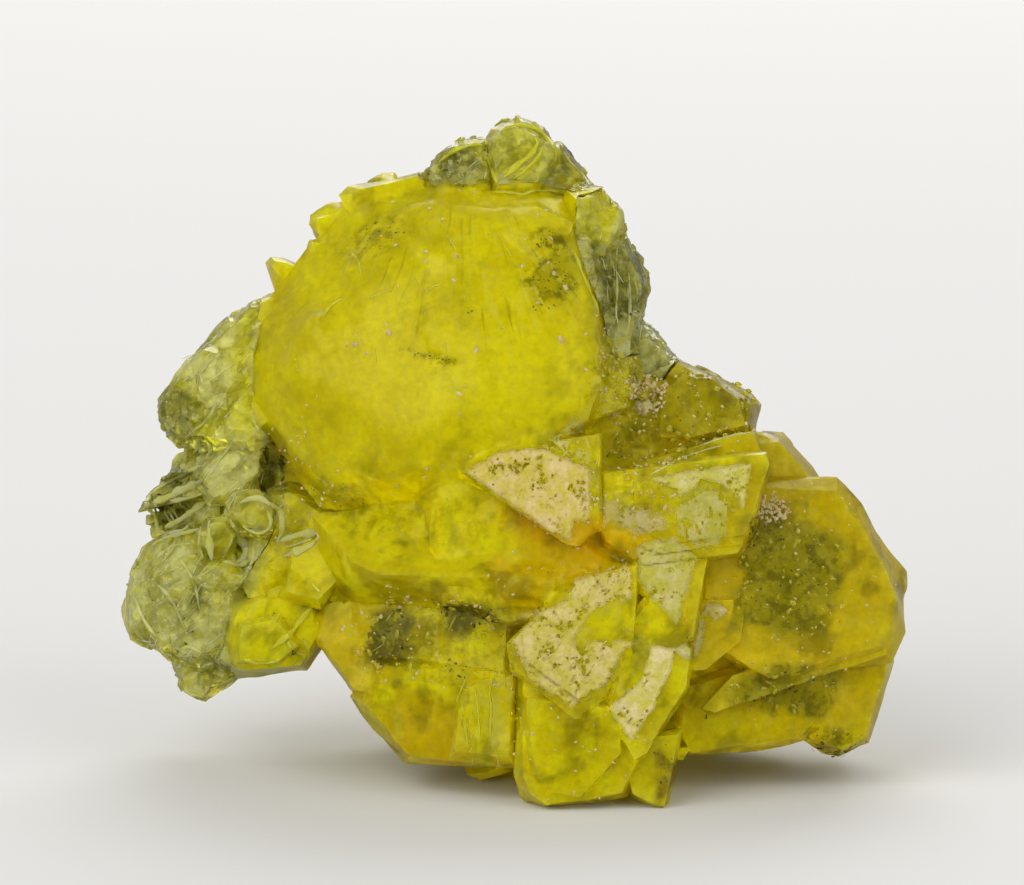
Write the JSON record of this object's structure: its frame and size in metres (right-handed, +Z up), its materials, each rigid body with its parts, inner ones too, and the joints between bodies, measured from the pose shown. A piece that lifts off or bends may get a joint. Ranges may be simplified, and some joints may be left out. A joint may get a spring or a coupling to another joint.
{
  "type": "jouravskite crystal cluster",
  "caption": "Cluster of lemon-yellow tabular crystals grown into one piece, with a cloudy dome, frosted triangular faces, pale glassy lobes and a flat broken foot.",
  "frame": {"origin": "middle of the bounding box in plan, on the flat underside of the foot", "axes": "+X along the width to the big tabular block, +Y from the front (the frosted faces) to the back, +Z up"},
  "size_m": [0.013, 0.008, 0.0109],
  "materials": {
    "lemon_crystal": "cloudy vitreous",
    "pale_crystal": "glassy",
    "frosted_crystal": "frosted",
    "pale_dust": "matte"
  },
  "bodies": {
    "root": {"crystal_cluster": "lemon_crystal"}
  },
  "joints": []
}
